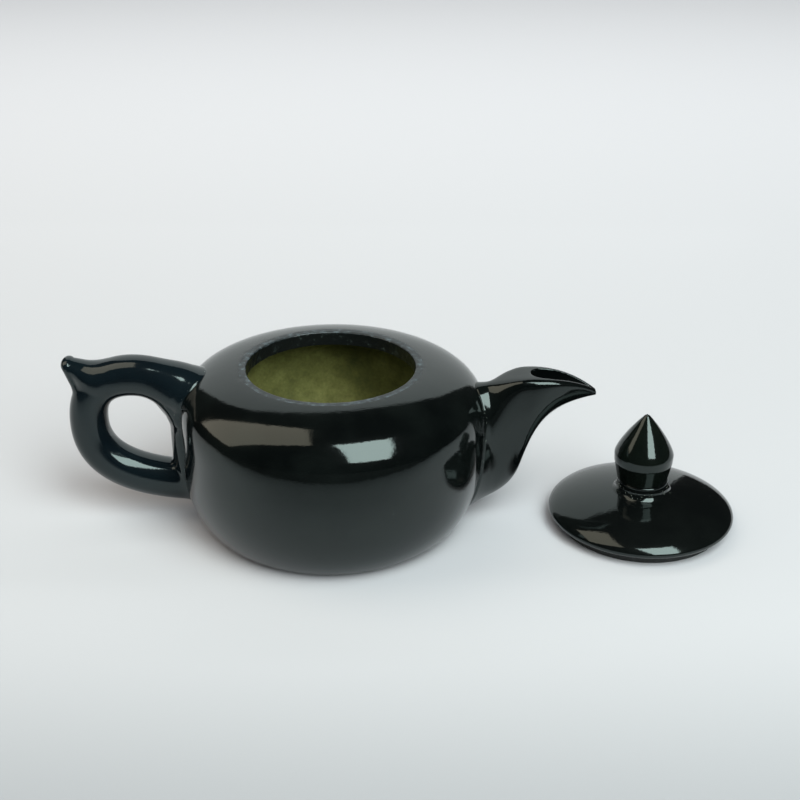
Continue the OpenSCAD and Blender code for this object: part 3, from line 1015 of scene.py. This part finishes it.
# the paper's second, darker colour is painted shade for its front; shadeFrom and shadeTo bound where it fades in
studio = {"paper": "#acaeb2", "paperInPaintedShade": "#8b8e92", "shadeFrom": -0.2, "shadeTo": -0.06, "paperSize": 8.0,
          "worldFill": 0.12, "roomGlow": 0.012, "boardGlow": 0.85, "boardAt": 0.33, "clothFrom": -0.175,
          "clothTo": -0.075, "clothHaze": 0.6, "clothReach": 3.0}


def paperMaterial():
    # seamless background paper: dead matte, faintly cool, with shade painted into its colour towards the front
    mat, tree, shader = newMaterial("backgroundPaper", {"Roughness": 0.9, "Specular IOR Level": 0.1})
    place = addNode(tree, "ShaderNodeTexCoord").outputs["Object"]
    along = addNode(tree, "ShaderNodeSeparateXYZ", inputs={0: place}).outputs["Y"]
    # painted shade: the paper's colour turns darker towards the front, standing in for the light falling off there
    near = addNode(tree, "ShaderNodeMapRange", {"interpolation_type": "SMOOTHSTEP"}, {
        "Value": along, "From Min": studio["shadeFrom"], "From Max": studio["shadeTo"]})
    tone = addNode(tree, "ShaderNodeMix", {"data_type": "RGBA"}, {
        0: near, 6: hexColor(studio["paperInPaintedShade"]), 7: hexColor(studio["paper"])})
    tree.links.new(tone.outputs[2], shader.inputs["Base Color"])
    return mat


def reflectionOnly(obj):
    # seen only in the mirror of the clay, and neither lights nor shades anything
    obj.visible_camera = False
    obj.visible_diffuse = False
    obj.visible_shadow = False
    obj.visible_transmission = False


def flatSheet(name, half, back, lift, mat):
    # lies level, and reaches from half in front of the middle to back behind it
    corners = [(-half, -half, lift), (half, -half, lift), (half, back, lift), (-half, back, lift)]
    return meshFromData(name, corners, [(0, 1, 2, 3)], mat)


def makeFloor():
    half = studio["paperSize"] / 2
    flatSheet("floor", half, half, 0, paperMaterial())


def makeDarkCloth():
    # black cotton beyond the front of the paper; it fades in where the paper still shows through
    mat, tree, shader = newMaterial("blackCloth", {"Base Color": hexColor("#0c0c0c"), "Roughness": 1.0})
    place = addNode(tree, "ShaderNodeTexCoord").outputs["Object"]
    depth = addNode(tree, "ShaderNodeSeparateXYZ", inputs={0: place}).outputs[1]
    cover = addNode(tree, "ShaderNodeMapRange", inputs={
        "Value": depth, "From Min": studio["clothTo"], "From Max": studio["clothFrom"],
        "To Max": studio["clothHaze"]})
    solid = addNode(tree, "ShaderNodeMath", {"operation": "LESS_THAN"}, {0: depth, 1: studio["clothFrom"]})
    cover = addNode(tree, "ShaderNodeMath", {"operation": "MAXIMUM"}, {0: cover, 1: solid})
    tree.links.new(cover.outputs[0], shader.inputs["Alpha"])
    reflectionOnly(flatSheet("blackCloth", studio["clothReach"], studio["clothTo"], 0.5 * mm, mat))


def makeBoard():
    # a lit white board stands behind the pot and slopes down to the right
    mat = newMaterial("whiteBoard", {"Base Color": (0, 0, 0, 1), "Emission Color": hexColor("#eef4f4"),
                                     "Emission Strength": studio["boardGlow"]})[0]
    outline = [(-0.27, 0.001), (0.235, 0.001), (0.235, 0.2), (0.21, 0.33), (0.15, 0.385), (0.05, 0.43),
               (-0.05, 0.47), (-0.2, 0.49), (-0.26, 0.4)]
    points = [(x, studio["boardAt"], z) for x, z in outline]
    reflectionOnly(meshFromData("whiteBoard", points, [tuple(range(len(points)))], mat))


def makeWorld():
    # soft pale room: seen as such by the paper and the camera, but dark in the mirror of the clay
    world = bpy.data.worlds.new("softRoom")
    bpy.context.scene.world = world
    world.use_nodes = True
    tree = world.node_tree
    background = tree.nodes["Background"]
    rays = addNode(tree, "ShaderNodeLightPath").outputs
    fill = tuple(c * studio["worldFill"] for c in hexColor("#f3f8f8")[:3]) + (1,)
    pale = addNode(tree, "ShaderNodeMix", {"data_type": "RGBA"}, {
        0: rays["Is Camera Ray"], 6: fill, 7: hexColor("#e6ebec")}).outputs[2]
    seen = addNode(tree, "ShaderNodeMix", {"data_type": "RGBA"}, {
        0: rays["Is Glossy Ray"], 6: pale, 7: (studio["roomGlow"],) * 3 + (1,)}).outputs[2]
    tree.links.new(seen, background.inputs["Color"])


def aimAt(obj, target, way, distance, roll):
    # stands obj at a distance from the target and turns it to look there
    obj.location = target + way * distance
    turn = (-way).to_track_quat("-Z", "Y").to_matrix() @ Matrix.Rotation(math.radians(roll), 3, "Z")
    obj.rotation_mode = "QUATERNION"
    obj.rotation_quaternion = turn.to_quaternion()


def makeLight(name, azimuth, elevation, distance, size, radiance, color, lookAt, roll=0.0, mirrored=True):
    # azimuth is counted from the front towards the right, and a lamp that isn't mirrored leaves no highlight
    a, e = math.radians(azimuth), math.radians(elevation)
    way = Vector((math.sin(a) * math.cos(e), -math.cos(a) * math.cos(e), math.sin(e)))
    data = bpy.data.lights.new(name, "AREA")
    data.shape = "RECTANGLE"
    data.size, data.size_y = size
    data.color = hexColor(color)[:3]
    data.energy = radiance * math.pi * size[0] * size[1]
    lamp = newObject(name, data)
    aimAt(lamp, lookAt, way, distance, roll)
    lamp.visible_camera = False
    lamp.visible_glossy = mirrored


def makeCamera():
    shot = {"elevation": 25.88, "roll": 0.28, "distance": 0.4958, "lens": 62.97, "target": (0.0243, 0, 0.0464)}
    data = bpy.data.cameras.new("camera")
    data.lens = shot["lens"]
    data.sensor_width = 36
    data.clip_start, data.clip_end = 0.01, 50
    data.dof.use_dof = False
    camera = newObject("camera", data)
    e = math.radians(shot["elevation"])
    back = Vector((0, -math.cos(e), math.sin(e)))
    aimAt(camera, Vector(shot["target"]), back, shot["distance"], shot["roll"])
    bpy.context.scene.camera = camera


makeFloor()
makeDarkCloth()
makeBoard()
makeWorld()
makeCamera()
potMiddle = Vector((0, 0, potHeight / 2))
makeLight("window", 35, 48, 1.2, (0.62, 1.15), 9.0, "#f0fbf8", potMiddle, roll=-12)
makeLight("doorway", -92, 50, 1.2, (0.85, 1.45), 1.9, "#ffedd8", potMiddle)
makeLight("softbox", 5, 42, 2.0, (1.6, 1.3), 4.3, "#fbfbf9", Vector((0.05, 0.3, 0)), mirrored=False)
makeLight("paperLight", 0, 45, 1.0, (2.4, 0.8), 3.9, "#fbfbf9", Vector((0.1, 1.35, 0.2)), mirrored=False)
bpy.context.scene.view_settings.view_transform = "Standard"
print("studio ready")
